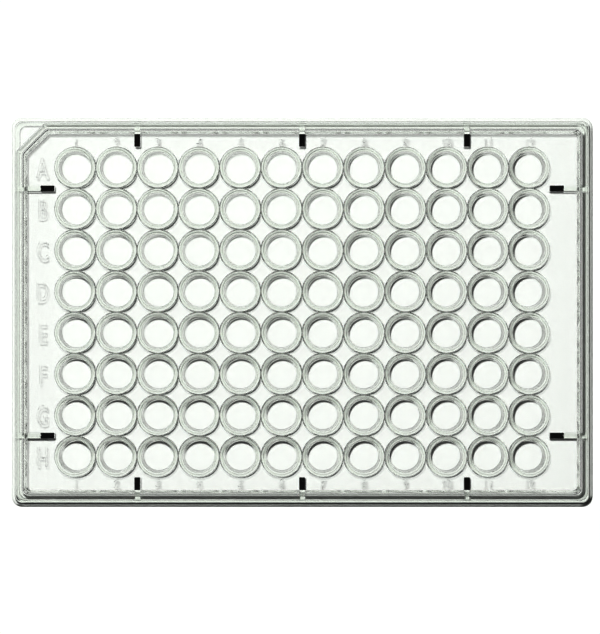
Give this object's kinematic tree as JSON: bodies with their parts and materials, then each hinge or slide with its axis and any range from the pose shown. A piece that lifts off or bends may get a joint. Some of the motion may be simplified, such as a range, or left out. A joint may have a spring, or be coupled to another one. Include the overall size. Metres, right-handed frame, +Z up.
{
  "type": "multiwell plate",
  "caption": "Clear moulded flat-bottom well plate with a stepped skirt, a flanged foot, a low rim and one cut corner; it holds small liquid samples in a grid of round wells",
  "frame": {"origin": "centre of the footprint, on the surface the plate stands on", "axes": "+X from column 1 to column 12, +Y from row H to row A, +Z up out of the wells"},
  "size_m": [0.1278, 0.0854, 0.0143],
  "materials": {
    "clear_polystyrene": "clear, colourless to faintly green moulded polystyrene, polished all over"
  },
  "bodies": {
    "root": {"well_plate": "clear_polystyrene"}
  },
  "joints": []
}
